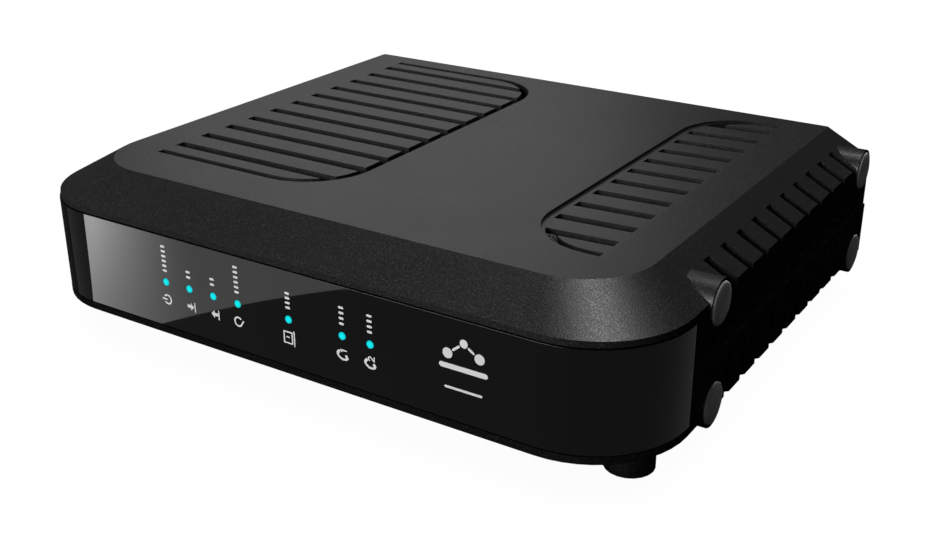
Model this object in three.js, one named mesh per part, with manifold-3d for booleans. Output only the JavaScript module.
// A telephony cable modem lying flat: a low black case of two shells that meet at a seam at mid height,
// a glossy band round the front, a panel with the sockets at the back, and the circuit board inside.
//
// Millimetres. +X is to the right seen from the front, +Y runs from the front to the back, +Z is up.
// The pieces are drawn in the case frame: X = 0 at the middle of the case, Y = 0 at the front face of
// the band, Z = 0 at the seam. The exported group moves that frame so that its origin is the middle of
// the bottom of the whole object's box.

import * as THREE from "three";
import { mergeVertices } from "three/addons/utils/BufferGeometryUtils.js";
import Module from "manifold-3d";

const wasm = await Module();
wasm.setup();

// ---------------------------------------------------------------- driving dimensions

const GAP = 0.3;                 // clearance between neighbouring pieces
const SLIM_GAP = 0.1;            // clearance under flat pieces that sit on the board

// Case walls, and the flat deck that the sloping border rises to. The underside mirrors the top, but
// the bottom cover stands out a little all round, so that its rim shows as a fine ledge at the seam.
const WALLS = { left: -106.7, right: 106.7, front: 0.45, back: 175, corner: 28.2 };
const DECK = { left: -94.4, right: 91.8, front: 16.25, back: 175, corner: 21.2 };
const BACK_CORNER = 0.5;
const RIM = 0.5;                 // how far the bottom cover stands out
const SHOULDER_Z = 16.7;         // the walls end here and the border begins
const BOTTOM_SHOULDER_Z = 17.1;
const DECK_Z = 24.5;
const SKIN = 2.4;                // shell thickness
const INNER_SHOULDER_Z = 15.24;  // inside of the shoulder, for an even skin
const INNER_DECK_Z = DECK_Z - SKIN;
const INNER_DECK_INSET = 0.6;
const SEAM_HALF = 0.15;          // half of the seam's width
const CORNER_STEPS = 12;
const BACK_CORNER_STEPS = 1;
const PANEL_LEDGE = { inset: 2.2, thick: 2, shoulderDrop: 1.2 };  // what the rear panel stands against
const TONGUE = { out: 1, back: 1.4, foot: -3, root: -0.6, top: 1.8 };

// Glossy band round the front.
const BAND_PROUD = 0.45;
const BAND_BACK = 1.75;          // depth of its back face behind the walls
const BAND_END_Y = 29.9;
const BAND_HALF_HEIGHT = 14.9;

// Ventilation slots share one spacing on the deck, the sides and the underside.
const SLOT_PITCH = 11.4;
const SLOT_WIDTH = 3.8;
const FIRST_SLOT_Y = 43.5;       // middle of the first full slot
const SLOT_COUNT = 11;
const VENT_FRONT = 33.6;
const VENT_BACK = 167.3;
const LEFT_VENT = { outer: -80.4, inner: -12.2, front: VENT_FRONT, back: VENT_BACK, radius: 21.5 };
const RIGHT_VENT = { outer: 77.6, inner: 53.4, front: VENT_FRONT, back: VENT_BACK, radius: 19.6 };
const RIGHT_DISH = { outer: 79.2, inner: 51.0, front: VENT_FRONT, back: VENT_BACK, radius: 22.0 };
const DISH_DEPTH = 0.9;
const VENT_CORNER_STEPS = 9;
const MOAT_WIDTH = 2.7;
const VENT_RIB_X = [-24, -46, -68];
const VENT_RIB = { halfWidth: 0.8, drop: 3 };
const SIDE_SLOT_Z = 3.5;
const SIDE_SLOT_RIGHT_X = 98.2;
const SIDE_SLOT_LEFT_X = -99.7;

// Rubber discs and the round bosses that hold them.
const BOSS_R = 7;
const BOSS_SIDES = 36;
const DISC_SIDES = 20;
const DISC_R = 6.06;
const SEAT_R = DISC_R + GAP;
const DISC_THICK = 2;
const DISC_EDGE = 0.45;
const SIDE_FOOT = { y: [44.8, 166.1], topZ: 14.25, bottomZ: -14.95, bossEnd: 107.3, face: 108, bossStart: 94 };
const BASE_FOOT = { x: 92.6, y: [26.3, 160], bossEnd: 29, face: 29.8, bossStart: 17.5 };

// Case screws come up from the underside into posts of the top cover.
const SCREW_XY = [[-84, 62], [84, 62], [-84, 128], [84, 128]];
const POST_R = 3.4;
const WELL_R = 4.4;
const WELL_TOP = -6;
const SCREW_SHAFT_R = 1.5;
const SCREW_HOLE_R = 1.9;
const SCREW_HEAD_R = 3;
const SCREW_HEAD_Z = -19.6;      // underside of the head
const SCREW_HEAD_THICK = 2.2;
const SCREW_LENGTH = 27;
const PILOT_TOP = 12;            // end of the hole in the post
const CROSS = { reach: 1.8, width: 0.75, depth: 1 };

// Main board, its standoffs and screws.
const BOARD = { x: [-78, 78], y: [8, 168], top: -9, thick: 1.6 };
const BOARD_SCREW_XY = [[-70, 30], [70, 30], [-70, 104], [70, 104]];
const STANDOFF_R = 3.2;
const STANDOFF_HOLE_R = 1.6;
const BOARD_SCREW = { headR: 2.8, headThick: 1.8, shaftR: 1.3, length: 7.5, holeR: 1.7 };
const SWITCH_NOTCH = { reach: 8, y: 157.5 };

// Label recess, keyholes for a wall, and vents in the underside.
const LABEL = { x: [-36, 36], y: [62, 112], recess: 0.8, thick: 0.5 };
const KEYHOLE = { x: [-40, 40], y: 146, headR: 4, neckR: 2.1, reach: 8 };
const BASE_VENTS = { x: [[-74, -46], [46, 74]], rows: 6 };

// Indicators: one dot per position, in steps of the pitch from the first.
const LED_PITCH = 9.3;
const LED_FIRST_X = -46.1;
const LED_STEPS = [0, 1, 2, 3, 5, 7, 8];
const LED_X = LED_STEPS.map((step) => LED_FIRST_X + step * LED_PITCH);
const PIPE_R = 0.95;
const PIPE_FRONT_Y = 0.15;
const PIPE_TURN_Y = 12;
const PIPE_HOLE_R = 1.2;
const PIPE_BAR = { y: [7.4, 9.4], halfHeight: 1.2, overhang: 3 };
const BEZEL = { thick: 1.6, drop: 0.7 };
const LED = { width: 3, depth: 1.6, height: 0.7 };

// Rear panel and what comes through it.
const PANEL = { inner: 170.6, outer: 172.8 };
const PANEL_VENTS = { count: 27, pitch: 6, width: 2.4, z: [11.5, 18.5] };
const SOCKET_FACE_Y = 173.3;
const ETHERNET = { x: -6, width: 16, height: 13.5, depth: 21 };
const ETHERNET_MOUTH = { width: 11.8, low: -4.9, high: 2.6, depth: 14, latch: 3.1 };
const PHONE = { x: [36, 18], width: 13.4, height: 12, depth: 17.5 };
const PHONE_MOUTH = { width: 9.8, low: -5.3, high: 1.4, depth: 13, latch: 2.4 };
const LATCH_GROOVE = { drop: 1.3, deepDrop: 2.4, deepShare: 0.55 };
const POWER_JACK = { x: -46, width: 9.6, height: 11.5, depth: 14.3, holeR: 3.15, holeDepth: 9.5, pinR: 1 };
const COAX = { x: 64, z: -1, barrelR: 4.7, boreR: 3.6, end: 183.8, nutFlats: 12.7, nutThick: 2.4 };
const COAX_FLANGE = { y: 160.4, thick: 2, half: 7 };
const COAX_CONTACT = { r: 0.75, depth: 8 };
const SWITCH = { x: -69, z: -1, width: 15, height: 21, pivotY: 170, tilt: 8 };
const SWITCH_BODY = { halfWidth: 6.5, halfHeight: 9.5, front: 158.5, flange: 1.8 };
const SWITCH_WINDOW = { halfWidth: 6.8, halfHeight: 9.8 };
const ROCKER_PROFILE = [[-7.7, 5.5], [0, 4.3], [7.7, 5.5], [7.2, 1], [3, -3.2], [-3, -3.2], [-7.2, 1]];
const ROCKER_HALF_WIDTH = 5.35;
const ROCKER_CAVITY = { halfWidth: 5.7, halfHeight: 8.8, floor: -4.3 };
const TRUNNION = { r: 1.2, halfLength: 6.2, holeHalfLength: 7 };
const RESET = { x: -27, z: -3.5, tipR: 1.2, tipY: 171.6, backY: 163.5, holeR: 1.7 };
const RESET_SWITCH = { halfWidth: 3.2, y: [157.5, 165.4], top: -0.4, holeY: 162.2 };

// Parts on the board: middle of each, then width, depth and height.
const CHIP_HEIGHT = 2.2;
const MAIN_CHIP = [0, 74, 27, 27, CHIP_HEIGHT];
const MEMORY_CHIP = [34, 74, 10, 18, 1.2];
const FLASH_CHIP = [-34, 74, 12, 18, 1.2];
const VOICE_CHIP = [28, 130, 14, 14, 1.4];
const HEAT_SINK = { x: 0, y: 74, size: 38, base: 2.5, height: 14, fins: 8, finWidth: 1.2 };
const CAPACITOR = { r: 5, height: 16, bead: 2.1, groove: 0.5 };
const CAPACITOR_XY = [[-60, 140], [-60, 126], [-46, 140]];
const COIL = { half: 6, corner: 2, height: 6.5 };
const COIL_XY = [[-44, 122], [-28, 138]];
const TUNER = { x: [50, 76], y: [118, 160], top: 5, wall: 1 };
const TUNER_LID = { overhang: 0.8, thick: 0.7, skirt: 0.5, skirtLow: 1.5 };
const LOUVRES = { x: [55, 71], y: [128, 136, 144], width: 2 };

// ---------------------------------------------------------------- solids

function solid(geometry) {
  const bare = geometry.clone();
  bare.deleteAttribute("normal");
  bare.deleteAttribute("uv");
  const merged = mergeVertices(bare, 1e-4);
  const vertProperties = new Float32Array(merged.attributes.position.array);
  const triVerts = new Uint32Array(merged.index.array);
  return new wasm.Manifold(new wasm.Mesh({ numProp: 3, vertProperties, triVerts }));
}

function geometryOf(body) {
  const mesh = body.getMesh();
  const geometry = new THREE.BufferGeometry();
  geometry.setAttribute("position", new THREE.BufferAttribute(new Float32Array(mesh.vertProperties), 3));
  geometry.setIndex(new THREE.BufferAttribute(new Uint32Array(mesh.triVerts), 1));
  geometry.computeVertexNormals();
  return geometry;
}

function union(bodies) {
  return bodies.reduce((sum, body) => sum.add(body));
}

function cut(body, tools) {
  return tools.reduce((rest, tool) => rest.subtract(tool), body);
}

function block([x0, x1], [y0, y1], [z0, z1]) {
  const geometry = new THREE.BoxGeometry(x1 - x0, y1 - y0, z1 - z0);
  geometry.translate((x0 + x1) / 2, (y0 + y1) / 2, (z0 + z1) / 2);
  return solid(geometry);
}

// A round bar along one axis, between two positions on that axis. centre gives the other two.
function rod(axis, [u, v], radius, from, to, sides = 20) {
  const geometry = new THREE.CylinderGeometry(radius, radius, to - from, sides);
  const middle = (from + to) / 2;
  if (axis === "x") {
    geometry.rotateZ(-Math.PI / 2);
    geometry.translate(middle, u, v);
  } else if (axis === "y") {
    geometry.translate(u, middle, v);
  } else {
    geometry.rotateX(Math.PI / 2);
    geometry.translate(u, v, middle);
  }
  return solid(geometry);
}

// A flat outline raised from z0 to z1.
function prism(points, z0, z1) {
  const geometry = new THREE.ExtrudeGeometry(new THREE.Shape(points), { depth: z1 - z0, bevelEnabled: false });
  geometry.translate(0, 0, z0);
  return solid(geometry);
}

// An outline drawn in X and Z, run along Y from y0 to y1.
function prismAlongY(points, y0, y1) {
  const geometry = new THREE.ExtrudeGeometry(new THREE.Shape(points), { depth: y1 - y0, bevelEnabled: false });
  geometry.rotateX(Math.PI / 2);
  geometry.translate(0, y1, 0);
  return solid(geometry);
}

// A body through outlines of equal point counts, from the lowest level to the highest.
function loft(levels) {
  const count = levels[0].outline.length;
  const positions = levels.flatMap(({ outline, z }) => outline.flatMap((p) => [p.x, p.y, z]));
  const index = [];
  for (let level = 0; level < levels.length - 1; level += 1) {
    for (let i = 0; i < count; i += 1) {
      const a = level * count + i;
      const b = level * count + ((i + 1) % count);
      index.push(a, b, b + count, a, b + count, a + count);
    }
  }
  const topStart = (levels.length - 1) * count;
  for (const [a, b, c] of THREE.ShapeUtils.triangulateShape(levels[0].outline, [])) {
    index.push(c, b, a);
  }
  for (const [a, b, c] of THREE.ShapeUtils.triangulateShape(levels.at(-1).outline, [])) {
    index.push(topStart + a, topStart + b, topStart + c);
  }
  const geometry = new THREE.BufferGeometry();
  geometry.setAttribute("position", new THREE.Float32BufferAttribute(positions, 3));
  geometry.setIndex(index);
  return solid(geometry);
}

function arc(cx, cy, radius, fromDegrees, toDegrees, steps) {
  const points = [];
  for (let i = 0; i <= steps; i += 1) {
    const angle = THREE.MathUtils.degToRad(fromDegrees + ((toDegrees - fromDegrees) * i) / steps);
    points.push(new THREE.Vector2(cx + radius * Math.cos(angle), cy + radius * Math.sin(angle)));
  }
  return points;
}

// Case plan: large corners at the front, small ones at the back, moved inwards by inset.
function plan(edges, inset, back = edges.back) {
  const left = edges.left + inset;
  const right = edges.right - inset;
  const front = edges.front + inset;
  const r = edges.corner - inset;
  const rb = BACK_CORNER;
  return [
    ...arc(left + r, front + r, r, 180, 270, CORNER_STEPS),
    ...arc(right - r, front + r, r, 270, 360, CORNER_STEPS),
    ...arc(right - rb, back - rb, rb, 0, 90, BACK_CORNER_STEPS),
    ...arc(left + rb, back - rb, rb, 90, 180, BACK_CORNER_STEPS),
  ];
}

// Vent outline: square at its outer side, rounded at the side towards the middle of the case.
function ventPlan({ outer, inner, front, back, radius }, inset = 0) {
  const side = Math.sign(inner - outer);
  const r = radius - inset;
  const cx = inner - side * radius;
  const square = (y) => new THREE.Vector2(outer, y);
  const turn = (y, from, to) => arc(cx, y, r, from, to, VENT_CORNER_STEPS);
  const rounded = side > 0
    ? [...turn(front + radius, 270, 360), ...turn(back - radius, 0, 90)]
    : [...turn(front + radius, 270, 180), ...turn(back - radius, 180, 90)];
  return [square(front + inset), ...rounded, square(back - inset)];
}

const slotCentres = Array.from({ length: SLOT_COUNT }, (_, i) => FIRST_SLOT_Y + i * SLOT_PITCH);

function slotSpan(y) {
  return [y - SLOT_WIDTH / 2, y + SLOT_WIDTH / 2];
}

// ---------------------------------------------------------------- case shells

const FAR = 250;                 // reach of tools that only have to pass right through
const TOOL_LOW = INNER_DECK_Z - 8;
const TOOL_HIGH = DECK_Z + 5;
const ROOT = 0.5;                // how far a post or rib reaches into the wall it grows from

// One half of the case. sign is +1 for the top cover and -1 for the bottom cover.
function halfCase(sign, seam, inset, z1, deckInset, z2, back) {
  const levels = [
    { outline: plan(WALLS, inset, back), z: sign * seam },
    { outline: plan(WALLS, inset, back), z: sign * z1 },
    { outline: plan(DECK, deckInset, back), z: sign * z2 },
  ];
  return loft(sign > 0 ? levels : levels.reverse());
}

function caseInside(sign) {
  return halfCase(sign, -5, SKIN, INNER_SHOULDER_Z, INNER_DECK_INSET, INNER_DECK_Z, WALLS.back + 10);
}

// How far out the seat behind a disc lies.
function seatFloor(foot) {
  return foot.face - DISC_THICK - GAP;
}

function coverShell(sign) {
  const shoulder = sign > 0 ? SHOULDER_Z : BOTTOM_SHOULDER_Z;
  const outside = halfCase(sign, SEAM_HALF, sign > 0 ? 0 : -RIM, shoulder, 0, DECK_Z, WALLS.back);
  const inside = caseInside(sign);
  const { inset, thick, shoulderDrop } = PANEL_LEDGE;
  const ledgeFace = PANEL.inner - GAP;
  const core = halfCase(sign, -5, SKIN + inset, INNER_SHOULDER_Z - shoulderDrop, INNER_DECK_INSET + inset,
    INNER_DECK_Z - inset, WALLS.back + 10);
  const slice = block([-FAR, FAR], [ledgeFace - thick, ledgeFace], [-FAR, FAR]);
  const ledge = outside.intersect(slice).subtract(core);
  const opening = block([-FAR, FAR], [-10, BAND_END_Y], [-BAND_HALF_HEIGHT, BAND_HALF_HEIGHT]);
  const sideSlots = slotCentres.flatMap((y) => {
    const z = sign > 0 ? [SIDE_SLOT_Z, FAR] : [-FAR, -SIDE_SLOT_Z];
    return [
      block([SIDE_SLOT_RIGHT_X, FAR], slotSpan(y), z),
      block([-FAR, SIDE_SLOT_LEFT_X], slotSpan(y), z),
    ];
  });
  const shell = cut(outside.subtract(inside).add(ledge), [opening, union(sideSlots)]);
  const footZ = sign > 0 ? SIDE_FOOT.topZ : SIDE_FOOT.bottomZ;
  const bosses = SIDE_FOOT.y.map((y) => {
    return rod("x", [y, footZ], BOSS_R, SIDE_FOOT.bossStart, SIDE_FOOT.bossEnd, BOSS_SIDES);
  });
  const seats = SIDE_FOOT.y.map((y) => rod("x", [y, footZ], SEAT_R, seatFloor(SIDE_FOOT), FAR));
  return cut(shell.add(union(bosses).subtract(inside)), seats);
}

function leftVentTools() {
  const area = prism(ventPlan(LEFT_VENT), TOOL_LOW, TOOL_HIGH);
  const island = prism(ventPlan(LEFT_VENT, MOAT_WIDTH), TOOL_LOW - 1, TOOL_HIGH + 1);
  const moat = area.subtract(island);
  const slots = slotCentres.map((y) => block([LEFT_VENT.outer, FAR], slotSpan(y), [TOOL_LOW, TOOL_HIGH]));
  return moat.add(union(slots).intersect(area));
}

function rightVentTools() {
  const area = prism(ventPlan(RIGHT_VENT), TOOL_LOW, TOOL_HIGH);
  const island = prism(ventPlan(RIGHT_VENT, MOAT_WIDTH), TOOL_LOW - 1, TOOL_HIGH + 1);
  const ends = union([
    block([-FAR, FAR], [-FAR, slotCentres[0]], [-FAR, FAR]),
    block([-FAR, FAR], [slotCentres.at(-1), FAR], [-FAR, FAR]),
  ]);
  const crescents = area.subtract(island).intersect(ends);
  const slots = slotCentres.map((y) => block([-FAR, RIGHT_VENT.outer], slotSpan(y), [TOOL_LOW, TOOL_HIGH]));
  return crescents.add(union(slots).intersect(area));
}

// Shallow dish round the right vent, deepest at its inner edge and level with the deck at the outer.
function rightDish() {
  const wedge = prismAlongY([
    new THREE.Vector2(RIGHT_DISH.inner - 1, DECK_Z - DISH_DEPTH),
    new THREE.Vector2(RIGHT_DISH.inner, DECK_Z - DISH_DEPTH),
    new THREE.Vector2(RIGHT_DISH.outer, DECK_Z),
    new THREE.Vector2(RIGHT_DISH.outer, TOOL_HIGH),
    new THREE.Vector2(RIGHT_DISH.inner - 1, TOOL_HIGH),
  ], VENT_FRONT - 1, VENT_BACK + 1);
  return wedge.intersect(prism(ventPlan(RIGHT_DISH), TOOL_LOW, TOOL_HIGH));
}

function topCover() {
  const { halfWidth, drop } = VENT_RIB;
  const ribs = VENT_RIB_X.map((x) => {
    const z = [INNER_DECK_Z - drop, INNER_DECK_Z + ROOT];
    return block([x - halfWidth, x + halfWidth], [VENT_FRONT - 4, VENT_BACK + 2], z);
  });
  const posts = SCREW_XY.map((xy) => rod("z", xy, POST_R, WELL_TOP + GAP, INNER_DECK_Z + ROOT, 12));
  const pilots = SCREW_XY.map((xy) => rod("z", xy, SCREW_HOLE_R, WELL_TOP - 1, PILOT_TOP, 10));
  const vented = cut(coverShell(1), [leftVentTools(), rightDish(), rightVentTools()]);
  return cut(union([vented, ...ribs, ...posts]), pilots);
}

// Tongue that rises from the bottom cover behind the seam.
function seamTongue() {
  const ring = (outer, inner, z0, z1) => {
    const body = loft([{ outline: plan(WALLS, outer), z: z0 }, { outline: plan(WALLS, outer), z: z1 }]);
    const hole = loft([
      { outline: plan(WALLS, inner), z: z0 - 1 },
      { outline: plan(WALLS, inner), z: z1 + 1 },
    ]);
    return body.subtract(hole);
  };
  const foot = ring(SKIN - TONGUE.out, SKIN + TONGUE.back, TONGUE.foot, TONGUE.root);
  const lip = ring(SKIN + GAP, SKIN + TONGUE.back, TONGUE.foot, TONGUE.top);
  const keep = block([-FAR, FAR], [BAND_END_Y + 2, PANEL.inner - 3], [-FAR, FAR]);
  return foot.add(lip).intersect(keep);
}

function keyhole(x) {
  const { y, headR, neckR, reach } = KEYHOLE;
  const z = [-DECK_Z - 2, -INNER_DECK_Z + 2];
  return union([
    rod("z", [x, y], headR, z[0], z[1], 20),
    rod("z", [x, y - reach], neckR, z[0], z[1], 12),
    block([x - neckR, x + neckR], [y - reach, y], z),
  ]);
}

function bottomCover() {
  const floorCut = [-DECK_Z - 5, -INNER_DECK_Z + 3];
  const footXY = [-BASE_FOOT.x, BASE_FOOT.x].flatMap((x) => BASE_FOOT.y.map((y) => [x, y]));
  const bosses = footXY.map((xy) => rod("z", xy, BOSS_R, -BASE_FOOT.bossEnd, -BASE_FOOT.bossStart));
  const seats = footXY.map((xy) => rod("z", xy, SEAT_R, -FAR, -seatFloor(BASE_FOOT)));
  const wells = SCREW_XY.map((xy) => rod("z", xy, WELL_R, -INNER_DECK_Z - ROOT, WELL_TOP, 16));
  const shafts = SCREW_XY.map((xy) => rod("z", xy, SCREW_HOLE_R, -FAR, WELL_TOP + 1, 10));
  const heads = SCREW_XY.map((xy) => rod("z", xy, SCREW_HEAD_R + GAP, -FAR, SCREW_HEAD_Z + SLIM_GAP, 16));
  const boardBottom = BOARD.top - BOARD.thick;
  const standoffs = BOARD_SCREW_XY.map((xy) => {
    return rod("z", xy, STANDOFF_R, -INNER_DECK_Z - ROOT, boardBottom - SLIM_GAP, 12);
  });
  const pilots = BOARD_SCREW_XY.map((xy) => {
    return rod("z", xy, STANDOFF_HOLE_R, -INNER_DECK_Z + 3, boardBottom + 1, 8);
  });
  const vents = BASE_VENTS.x.flatMap((x) => {
    return slotCentres.slice(1, 1 + BASE_VENTS.rows).map((y) => block(x, slotSpan(y), floorCut));
  });
  const label = block(LABEL.x, LABEL.y, [-FAR, -DECK_Z + LABEL.recess]);
  const feet = union(bosses).subtract(caseInside(-1));
  const body = union([coverShell(-1), seamTongue(), feet, ...wells, ...standoffs]);
  return cut(body, [
    ...seats, ...shafts, ...heads, ...pilots, ...vents, label, ...KEYHOLE.x.map(keyhole),
  ]);
}

// ---------------------------------------------------------------- front

// Part of a ring that follows the walls, as far back as endY.
function frontRing(outerInset, innerInset, halfHeight, endY) {
  const outside = loft([
    { outline: plan(WALLS, outerInset), z: -halfHeight },
    { outline: plan(WALLS, outerInset), z: halfHeight },
  ]);
  const inside = loft([
    { outline: plan(WALLS, innerInset), z: -halfHeight - 1 },
    { outline: plan(WALLS, innerInset), z: halfHeight + 1 },
  ]);
  return outside.subtract(inside).intersect(block([-FAR, FAR], [-10, endY], [-FAR, FAR]));
}

function frontLens() {
  const band = frontRing(-BAND_PROUD, BAND_BACK, BAND_HALF_HEIGHT - GAP, BAND_END_Y - GAP);
  return cut(band, LED_X.map((x) => rod("y", [x, 0], PIPE_HOLE_R, -5, 10, 12)));
}

function frontBezel() {
  const start = BAND_BACK + GAP;
  const band = frontRing(start, start + BEZEL.thick, BAND_HALF_HEIGHT - BEZEL.drop, BAND_END_Y - GAP);
  return cut(band, LED_X.map((x) => rod("y", [x, 0], PIPE_HOLE_R, -5, 10, 12)));
}

function lightGuide() {
  const ledTop = BOARD.top + SLIM_GAP * 2 + LED.height;
  const legHalf = LED.depth / 2;
  const pipes = LED_X.flatMap((x) => [
    rod("y", [x, 0], PIPE_R, PIPE_FRONT_Y, PIPE_TURN_Y - legHalf + SLIM_GAP, 12),
    block([x - legHalf, x + legHalf], [PIPE_TURN_Y - legHalf, PIPE_TURN_Y + legHalf], [ledTop + SLIM_GAP, 1]),
  ]);
  const { y, halfHeight, overhang } = PIPE_BAR;
  const bar = block([LED_X[0] - overhang, LED_X.at(-1) + overhang], y, [-halfHeight, halfHeight]);
  return union([bar, ...pipes]);
}

// ---------------------------------------------------------------- back

function rearPanel() {
  const x1 = WALLS.right - SKIN - GAP;
  const x2 = DECK.right - INNER_DECK_INSET - GAP;
  const x3 = DECK.left + INNER_DECK_INSET + GAP;
  const z1 = INNER_SHOULDER_Z - SLIM_GAP;
  const z2 = INNER_DECK_Z - GAP;
  const corners = [[x1, -z1], [x1, z1], [x2, z2], [x3, z2], [-x1, z1], [-x1, -z1], [x3, -z2], [x2, -z2]];
  const points = corners.map(([x, z]) => new THREE.Vector2(x, z));
  const plate = prismAlongY(points, PANEL.inner, PANEL.outer);
  const through = [PANEL.inner - 5, PANEL.outer + 5];
  const window = (socket, x) => {
    const half = socket.width / 2 + GAP;
    return block([x - half, x + half], through, [BOARD.top - GAP, BOARD.top + SLIM_GAP + socket.height + GAP]);
  };
  const vents = Array.from({ length: PANEL_VENTS.count }, (_, i) => {
    const x = (i - (PANEL_VENTS.count - 1) / 2) * PANEL_VENTS.pitch;
    return block([x - PANEL_VENTS.width / 2, x + PANEL_VENTS.width / 2], through, PANEL_VENTS.z);
  });
  const [y0, y1] = through;
  return cut(plate, [
    window(ETHERNET, ETHERNET.x),
    ...PHONE.x.map((x) => window(PHONE, x)),
    window(POWER_JACK, POWER_JACK.x),
    rod("y", [COAX.x, COAX.z], COAX.barrelR + GAP, y0, y1, 24),
    rod("y", [RESET.x, RESET.z], RESET.holeR, y0, y1, 16),
    block([SWITCH.x - SWITCH_WINDOW.halfWidth, SWITCH.x + SWITCH_WINDOW.halfWidth], through,
      [SWITCH.z - SWITCH_WINDOW.halfHeight, SWITCH.z + SWITCH_WINDOW.halfHeight]),
    ...vents,
  ]);
}

// A modular socket: a box with the plug's opening and its latch groove, open towards the back.
function modularJack({ width, height, depth }, x, opening) {
  const z0 = BOARD.top + SLIM_GAP;
  const body = block([x - width / 2, x + width / 2], [SOCKET_FACE_Y - depth, SOCKET_FACE_Y], [z0, z0 + height]);
  const inner = [SOCKET_FACE_Y - opening.depth, SOCKET_FACE_Y + 1];
  const mouth = block([x - opening.width / 2, x + opening.width / 2], inner, [opening.low, opening.high]);
  const groove = (half, drop) => block([x - half, x + half], inner, [opening.low - drop, opening.low + 1]);
  const { drop, deepDrop, deepShare } = LATCH_GROOVE;
  return cut(body, [mouth, groove(opening.latch, drop), groove(opening.latch * deepShare, deepDrop)]);
}

function powerJack() {
  const z0 = BOARD.top + SLIM_GAP;
  const half = POWER_JACK.width / 2;
  const zHole = z0 + POWER_JACK.height - half - GAP;
  const body = block([POWER_JACK.x - half, POWER_JACK.x + half],
    [SOCKET_FACE_Y - POWER_JACK.depth, SOCKET_FACE_Y], [z0, z0 + POWER_JACK.height]);
  const holeEnd = SOCKET_FACE_Y - POWER_JACK.holeDepth;
  const hole = rod("y", [POWER_JACK.x, zHole], POWER_JACK.holeR, holeEnd, SOCKET_FACE_Y + 1, 24);
  const pin = rod("y", [POWER_JACK.x, zHole], POWER_JACK.pinR, holeEnd - ROOT, SOCKET_FACE_Y - 1, 12);
  return body.subtract(hole).add(pin);
}

function coaxBarrel() {
  const centre = [COAX.x, COAX.z];
  const { y, thick, half } = COAX_FLANGE;
  const flange = block([COAX.x - half, COAX.x + half], [y, y + thick], [COAX.z - half, COAX.z + half]);
  const barrel = rod("y", centre, COAX.barrelR, y + ROOT, COAX.end, 28);
  return flange.add(barrel).subtract(rod("y", centre, COAX.boreR, y - 1, COAX.end + 1, 20));
}

function coaxInsulator() {
  const centre = [COAX.x, COAX.z];
  const core = rod("y", centre, COAX.boreR - GAP, COAX_FLANGE.y + 1, COAX.end - 2 * GAP, 20);
  return core.subtract(rod("y", centre, COAX_CONTACT.r, COAX.end - COAX_CONTACT.depth, COAX.end, 10));
}

function coaxNut() {
  const circumradius = COAX.nutFlats / Math.sqrt(3);
  const start = PANEL.outer + SLIM_GAP * 2;
  const end = start + COAX.nutThick;
  const nut = rod("y", [COAX.x, COAX.z], circumradius, start, end, 6);
  return nut.subtract(rod("y", [COAX.x, COAX.z], COAX.barrelR + GAP, start - 1, end + 1, 28));
}

function tunerFrame() {
  const { x: [x0, x1], y: [y0, y1], top, wall } = TUNER;
  const outer = block([x0, x1], [y0, y1], [BOARD.top + SLIM_GAP, top]);
  return outer.subtract(block([x0 + wall, x1 - wall], [y0 + wall, y1 - wall], [BOARD.top - 1, top + 1]));
}

function tunerLid() {
  const { overhang, thick, skirt, skirtLow } = TUNER_LID;
  const x = [TUNER.x[0] - overhang, TUNER.x[1] + overhang];
  const front = TUNER.y[0] - overhang;
  const bottom = TUNER.top + 2 * SLIM_GAP;
  const plate = block(x, [front, TUNER.y[1]], [bottom, bottom + thick]);
  const apron = block(x, [front, front + skirt], [skirtLow, bottom + thick / 2]);
  const louvres = LOUVRES.y.map((y) => block(LOUVRES.x, [y, y + LOUVRES.width], [bottom - 1, bottom + 2]));
  return cut(plate.add(apron), louvres);
}

function switchBody() {
  const x = (half) => [SWITCH.x - half, SWITCH.x + half];
  const z = (half) => [SWITCH.z - half, SWITCH.z + half];
  const flangeStart = PANEL.outer + SLIM_GAP * 2;
  const body = block(x(SWITCH_BODY.halfWidth), [SWITCH_BODY.front, flangeStart + ROOT],
    z(SWITCH_BODY.halfHeight));
  const flange = block(x(SWITCH.width / 2), [flangeStart, flangeStart + SWITCH_BODY.flange],
    z(SWITCH.height / 2));
  const cavity = block(x(ROCKER_CAVITY.halfWidth), [SWITCH.pivotY + ROCKER_CAVITY.floor, flangeStart + 3],
    z(ROCKER_CAVITY.halfHeight));
  const [low, high] = x(TRUNNION.holeHalfLength);
  const pivot = rod("x", [SWITCH.pivotY, SWITCH.z], TRUNNION.r + GAP, low, high, 16);
  return cut(body.add(flange), [cavity, pivot]);
}

// Drawn about its pivot with its two faces level, and turned to the position it rests in.
function switchRocker() {
  const points = ROCKER_PROFILE.map(([z, y]) => new THREE.Vector2(y, z));
  const geometry = new THREE.ExtrudeGeometry(new THREE.Shape(points), {
    depth: 2 * ROCKER_HALF_WIDTH, bevelEnabled: false,
  });
  geometry.translate(0, 0, -ROCKER_HALF_WIDTH);
  geometry.applyMatrix4(new THREE.Matrix4().makeBasis(
    new THREE.Vector3(0, 1, 0), new THREE.Vector3(0, 0, 1), new THREE.Vector3(1, 0, 0)));
  return solid(geometry).add(rod("x", [0, 0], TRUNNION.r, -TRUNNION.halfLength, TRUNNION.halfLength, 16));
}

function resetPlunger() {
  return rod("y", [RESET.x, RESET.z], RESET.tipR, RESET.backY, RESET.tipY, 14);
}

function resetSwitch() {
  const { halfWidth, y, top, holeY } = RESET_SWITCH;
  const body = block([RESET.x - halfWidth, RESET.x + halfWidth], y, [BOARD.top + SLIM_GAP, top]);
  return body.subtract(rod("y", [RESET.x, RESET.z], RESET.tipR + GAP, holeY, y[1] + 1, 14));
}

// ---------------------------------------------------------------- board and what is on it

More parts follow.
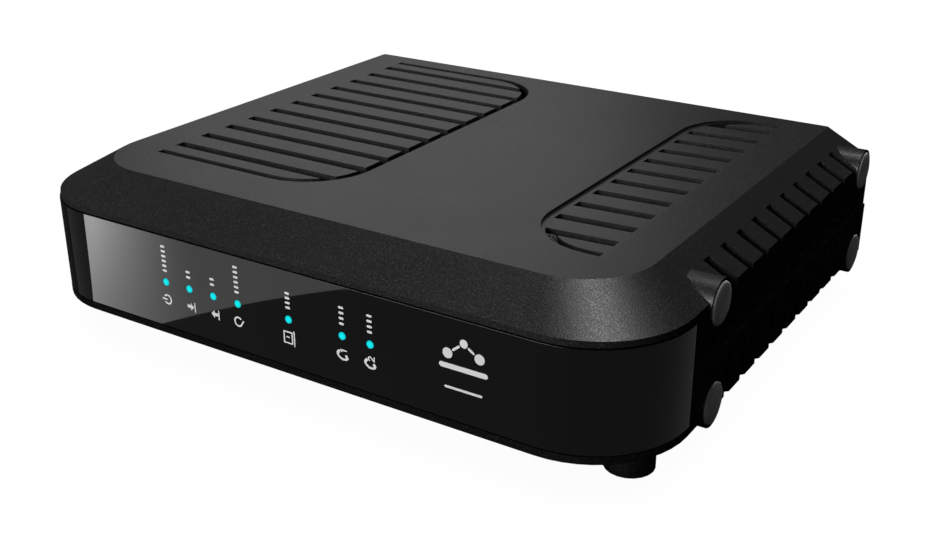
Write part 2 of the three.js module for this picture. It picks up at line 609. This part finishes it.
function mainBoard() {
  const bottom = BOARD.top - BOARD.thick;
  const plate = block(BOARD.x, BOARD.y, [bottom, BOARD.top]);
  const holes = BOARD_SCREW_XY.map((xy) => rod("z", xy, BOARD_SCREW.holeR, bottom - 1, BOARD.top + 1, 12));
  const switchNotch = block([BOARD.x[0] - 1, SWITCH.x + SWITCH_NOTCH.reach], [SWITCH_NOTCH.y, FAR],
    [bottom - 1, BOARD.top + 1]);
  return cut(plate, [...holes, switchNotch]);
}

function chip(x, y, width, depth, height) {
  const z = BOARD.top + SLIM_GAP;
  return block([x - width / 2, x + width / 2], [y - depth / 2, y + depth / 2], [z, z + height]);
}

function heatSink() {
  const { x, y, size, base, height, fins, finWidth } = HEAT_SINK;
  const bottom = BOARD.top + SLIM_GAP * 2 + CHIP_HEIGHT;
  const half = size / 2;
  const step = (size - finWidth) / (fins - 1);
  const plate = block([x - half, x + half], [y - half, y + half], [bottom, bottom + base]);
  const blades = Array.from({ length: fins }, (_, i) => x - half + i * step).map((x0) => {
    return block([x0, x0 + finWidth], [y - half, y + half], [bottom + base - ROOT, bottom + height]);
  });
  return union([plate, ...blades]);
}

function latheSolid(profile, sides) {
  const geometry = new THREE.LatheGeometry(profile.map(([r, h]) => new THREE.Vector2(r, h)), sides);
  geometry.rotateX(Math.PI / 2);
  return solid(geometry);
}

// A can with the pinched groove that holds its rubber bung.
function capacitor() {
  const { r, height, bead, groove } = CAPACITOR;
  return latheSolid([
    [0, 0], [r, 0], [r, bead - groove], [r - groove, bead], [r, bead + groove],
    [r, height - groove], [r - groove, height], [0, height],
  ], 16);
}

function powerCoil() {
  const { half, corner, height } = COIL;
  const c = half - corner;
  const turn = (x, y, from) => arc(x, y, corner, from, from + 90, 3);
  return prism([...turn(c, -c, -90), ...turn(c, c, 0), ...turn(-c, c, 90), ...turn(-c, -c, 180)], 0, height);
}

// A disc with a bevelled rim, drawn about its own axis with its outer face up.
function rubberDisc() {
  const r = DISC_R;
  return latheSolid([
    [0, 0], [r, 0], [r, DISC_THICK - DISC_EDGE], [r - DISC_EDGE, DISC_THICK], [0, DISC_THICK],
  ], DISC_SIDES);
}

// The cross recess of a screw, which reaches along z.
function crossRecess(z) {
  const arm = [-CROSS.reach, CROSS.reach];
  const width = [-CROSS.width / 2, CROSS.width / 2];
  return [block(arm, width, z), block(width, arm, z)];
}

// Drawn with the underside of its head at z = 0 and its shaft upwards.
function caseScrew() {
  const head = rod("z", [0, 0], SCREW_HEAD_R, -SCREW_HEAD_THICK, 0, 16);
  const shaft = rod("z", [0, 0], SCREW_SHAFT_R, -ROOT, SCREW_LENGTH, 10);
  return cut(head.add(shaft), crossRecess([-SCREW_HEAD_THICK - 1, -SCREW_HEAD_THICK + CROSS.depth]));
}

// Drawn with the underside of its head at z = 0 and its shaft downwards.
function boardScrew() {
  const { headR, headThick, shaftR, length } = BOARD_SCREW;
  const head = rod("z", [0, 0], headR, 0, headThick, 14);
  const shaft = rod("z", [0, 0], shaftR, -length, ROOT, 8);
  return cut(head.add(shaft), crossRecess([headThick - CROSS.depth, headThick + 1]));
}

// ---------------------------------------------------------------- materials

function material(color, roughness, metalness = 0) {
  return new THREE.MeshStandardMaterial({ color, roughness, metalness });
}

const LOOK = {
  shell: material(0x2b2b2d, 0.6),
  lens: material(0x08080a, 0.08),
  black: material(0x141416, 0.5),
  rubber: material(0x3a3b3d, 0.7),
  steel: material(0x8d9094, 0.35, 0.9),
  tin: material(0xb9bcc0, 0.3, 0.9),
  brass: material(0xc9b37a, 0.35, 0.9),
  board: material(0x1f5a3a, 0.45),
  clear: material(0xcfeff0, 0.15),
  led: material(0xf2f2ea, 0.4),
  chip: material(0x1c1c1f, 0.5),
  aluminium: material(0x9a9ca0, 0.4, 0.8),
  sleeve: material(0x1d2c46, 0.4),
  white: material(0xe9e8e2, 0.5),
  label: material(0xd6d6d2, 0.5),
  socket: material(0x232326, 0.45),
};

// ---------------------------------------------------------------- assembly

const caseFrame = new THREE.Group();

function place(name, body, look, position = [0, 0, 0], rotation = [0, 0, 0]) {
  const mesh = new THREE.Mesh(geometryOf(body), look);
  mesh.name = name;
  mesh.position.set(...position);
  mesh.rotation.set(...rotation);
  caseFrame.add(mesh);
}

place("top_cover", topCover(), LOOK.shell);
place("bottom_cover", bottomCover(), LOOK.shell);
place("front_lens", frontLens(), LOOK.lens);
place("front_bezel", frontBezel(), LOOK.black);
place("light_guide", lightGuide(), LOOK.clear);
place("rear_panel", rearPanel(), LOOK.shell);
place("underside_label", block(
  [LABEL.x[0] + GAP, LABEL.x[1] - GAP],
  [LABEL.y[0] + GAP, LABEL.y[1] - GAP],
  [-DECK_Z + LABEL.recess - SLIM_GAP - LABEL.thick, -DECK_Z + LABEL.recess - SLIM_GAP]), LOOK.label);

SIDE_FOOT.y.forEach((y, row) => {
  [SIDE_FOOT.topZ, SIDE_FOOT.bottomZ].forEach((z, column) => {
    const start = SIDE_FOOT.face - DISC_THICK;
    place(`side_foot_${2 * row + column + 1}`, rubberDisc(), LOOK.rubber, [start, y, z], [0, Math.PI / 2, 0]);
  });
});

BASE_FOOT.y.forEach((y, row) => {
  [-BASE_FOOT.x, BASE_FOOT.x].forEach((x, column) => {
    const start = -BASE_FOOT.face + DISC_THICK;
    place(`bottom_foot_${2 * row + column + 1}`, rubberDisc(), LOOK.rubber, [x, y, start], [Math.PI, 0, 0]);
  });
});

SCREW_XY.forEach(([x, y], i) => {
  place(`case_screw_${i + 1}`, caseScrew(), LOOK.steel, [x, y, SCREW_HEAD_Z]);
});

place("main_board", mainBoard(), LOOK.board);
BOARD_SCREW_XY.forEach(([x, y], i) => {
  place(`board_screw_${i + 1}`, boardScrew(), LOOK.steel, [x, y, BOARD.top + SLIM_GAP]);
});
LED_X.forEach((x, i) => {
  place(`led_${i + 1}`, chip(x, PIPE_TURN_Y, LED.width, LED.depth, LED.height), LOOK.led);
});

place("main_chip", chip(...MAIN_CHIP), LOOK.chip);
place("heat_sink", heatSink(), LOOK.aluminium);
place("memory_chip", chip(...MEMORY_CHIP), LOOK.chip);
place("flash_chip", chip(...FLASH_CHIP), LOOK.chip);
place("voice_chip", chip(...VOICE_CHIP), LOOK.chip);

const onBoard = BOARD.top + SLIM_GAP;
CAPACITOR_XY.forEach(([x, y], i) => {
  place(`capacitor_${i + 1}`, capacitor(), LOOK.sleeve, [x, y, onBoard]);
});
COIL_XY.forEach(([x, y], i) => {
  place(`power_coil_${i + 1}`, powerCoil(), LOOK.chip, [x, y, onBoard]);
});

place("tuner_frame", tunerFrame(), LOOK.tin);
place("tuner_lid", tunerLid(), LOOK.tin);
place("coax_connector", coaxBarrel(), LOOK.brass);
place("coax_insulator", coaxInsulator(), LOOK.white);
place("coax_nut", coaxNut(), LOOK.brass);
place("ethernet_jack", modularJack(ETHERNET, ETHERNET.x, ETHERNET_MOUTH), LOOK.tin);
PHONE.x.forEach((x, i) => {
  place(`phone_jack_${i + 1}`, modularJack(PHONE, x, PHONE_MOUTH), LOOK.socket);
});
place("power_jack", powerJack(), LOOK.socket);
place("power_switch_body", switchBody(), LOOK.black);
place("power_switch_rocker", switchRocker(), LOOK.black,
  [SWITCH.x, SWITCH.pivotY, SWITCH.z], [THREE.MathUtils.degToRad(SWITCH.tilt), 0, 0]);
place("reset_button", resetPlunger(), LOOK.white);
place("reset_switch", resetSwitch(), LOOK.chip);

// The object's box runs from the bottom cover's left side to the side discs, from its front to the
// coaxial connector and from the bottom discs to the deck.
const boxLeft = WALLS.left - Math.max(RIM, BAND_PROUD);
const boxRight = SIDE_FOOT.face;
const boxFront = WALLS.front - Math.max(RIM, BAND_PROUD);
caseFrame.position.set(-(boxLeft + boxRight) / 2, -(boxFront + COAX.end) / 2, BASE_FOOT.face);

const modem = new THREE.Group();
modem.add(caseFrame);

export default modem;
